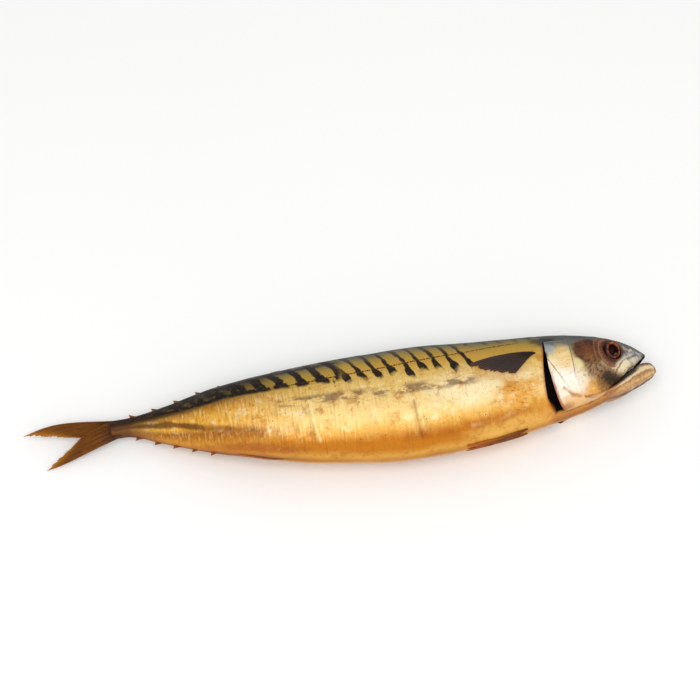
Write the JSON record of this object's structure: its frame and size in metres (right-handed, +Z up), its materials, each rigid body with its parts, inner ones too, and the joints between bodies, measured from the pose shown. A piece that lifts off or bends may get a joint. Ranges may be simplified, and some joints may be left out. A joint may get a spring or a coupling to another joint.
{
  "type": "smoked mackerel",
  "caption": "Whole hot-smoked mackerel lying on its left flank, golden with a barred dark back, mouth ajar, gill slit open and fins folded.",
  "frame": {"origin": "centre of the fish's bounding box on the surface it rests on", "axes": "+X from the tail towards the jaws, +Y from the belly towards the back, +Z up out of the right flank"},
  "size_m": [0.3404, 0.0638, 0.0385],
  "materials": {
    "smoked_skin": "glossy oiled smoked skin, golden flank under a blue-black barred back",
    "gill_cover": "pale pinkish-white plate with a satin gloss",
    "jaw_skin": "tan skin over bone with dark edges",
    "eye": "shrunken rust-brown eye with a black pupil, wet gloss",
    "dark_fin": "dried dark purple-brown fin web and rays",
    "brown_fin": "dried amber-brown fin web and rays, satin"
  },
  "bodies": {
    "root": {"body": "smoked_skin", "gill_cover_right": "gill_cover", "gill_cover_left": "gill_cover", "lower_jaw": "jaw_skin", "eye_right": "eye", "eye_left": "eye", "pectoral_fin_right": "dark_fin", "pectoral_fin_left": "dark_fin", "pelvic_fin_right": "brown_fin", "pelvic_fin_left": "brown_fin", "first_dorsal_fin": "dark_fin", "second_dorsal_fin": "dark_fin", "anal_fin": "brown_fin", "tail_fin_upper_lobe": "brown_fin", "tail_fin_lower_lobe": "brown_fin", "dorsal_finlet_1": "brown_fin", "anal_finlet_1": "brown_fin", "dorsal_finlet_2": "brown_fin", "anal_finlet_2": "brown_fin", "dorsal_finlet_3": "brown_fin", "anal_finlet_3": "brown_fin", "dorsal_finlet_4": "brown_fin", "anal_finlet_4": "brown_fin", "dorsal_finlet_5": "brown_fin", "anal_finlet_5": "brown_fin"}
  },
  "joints": []
}
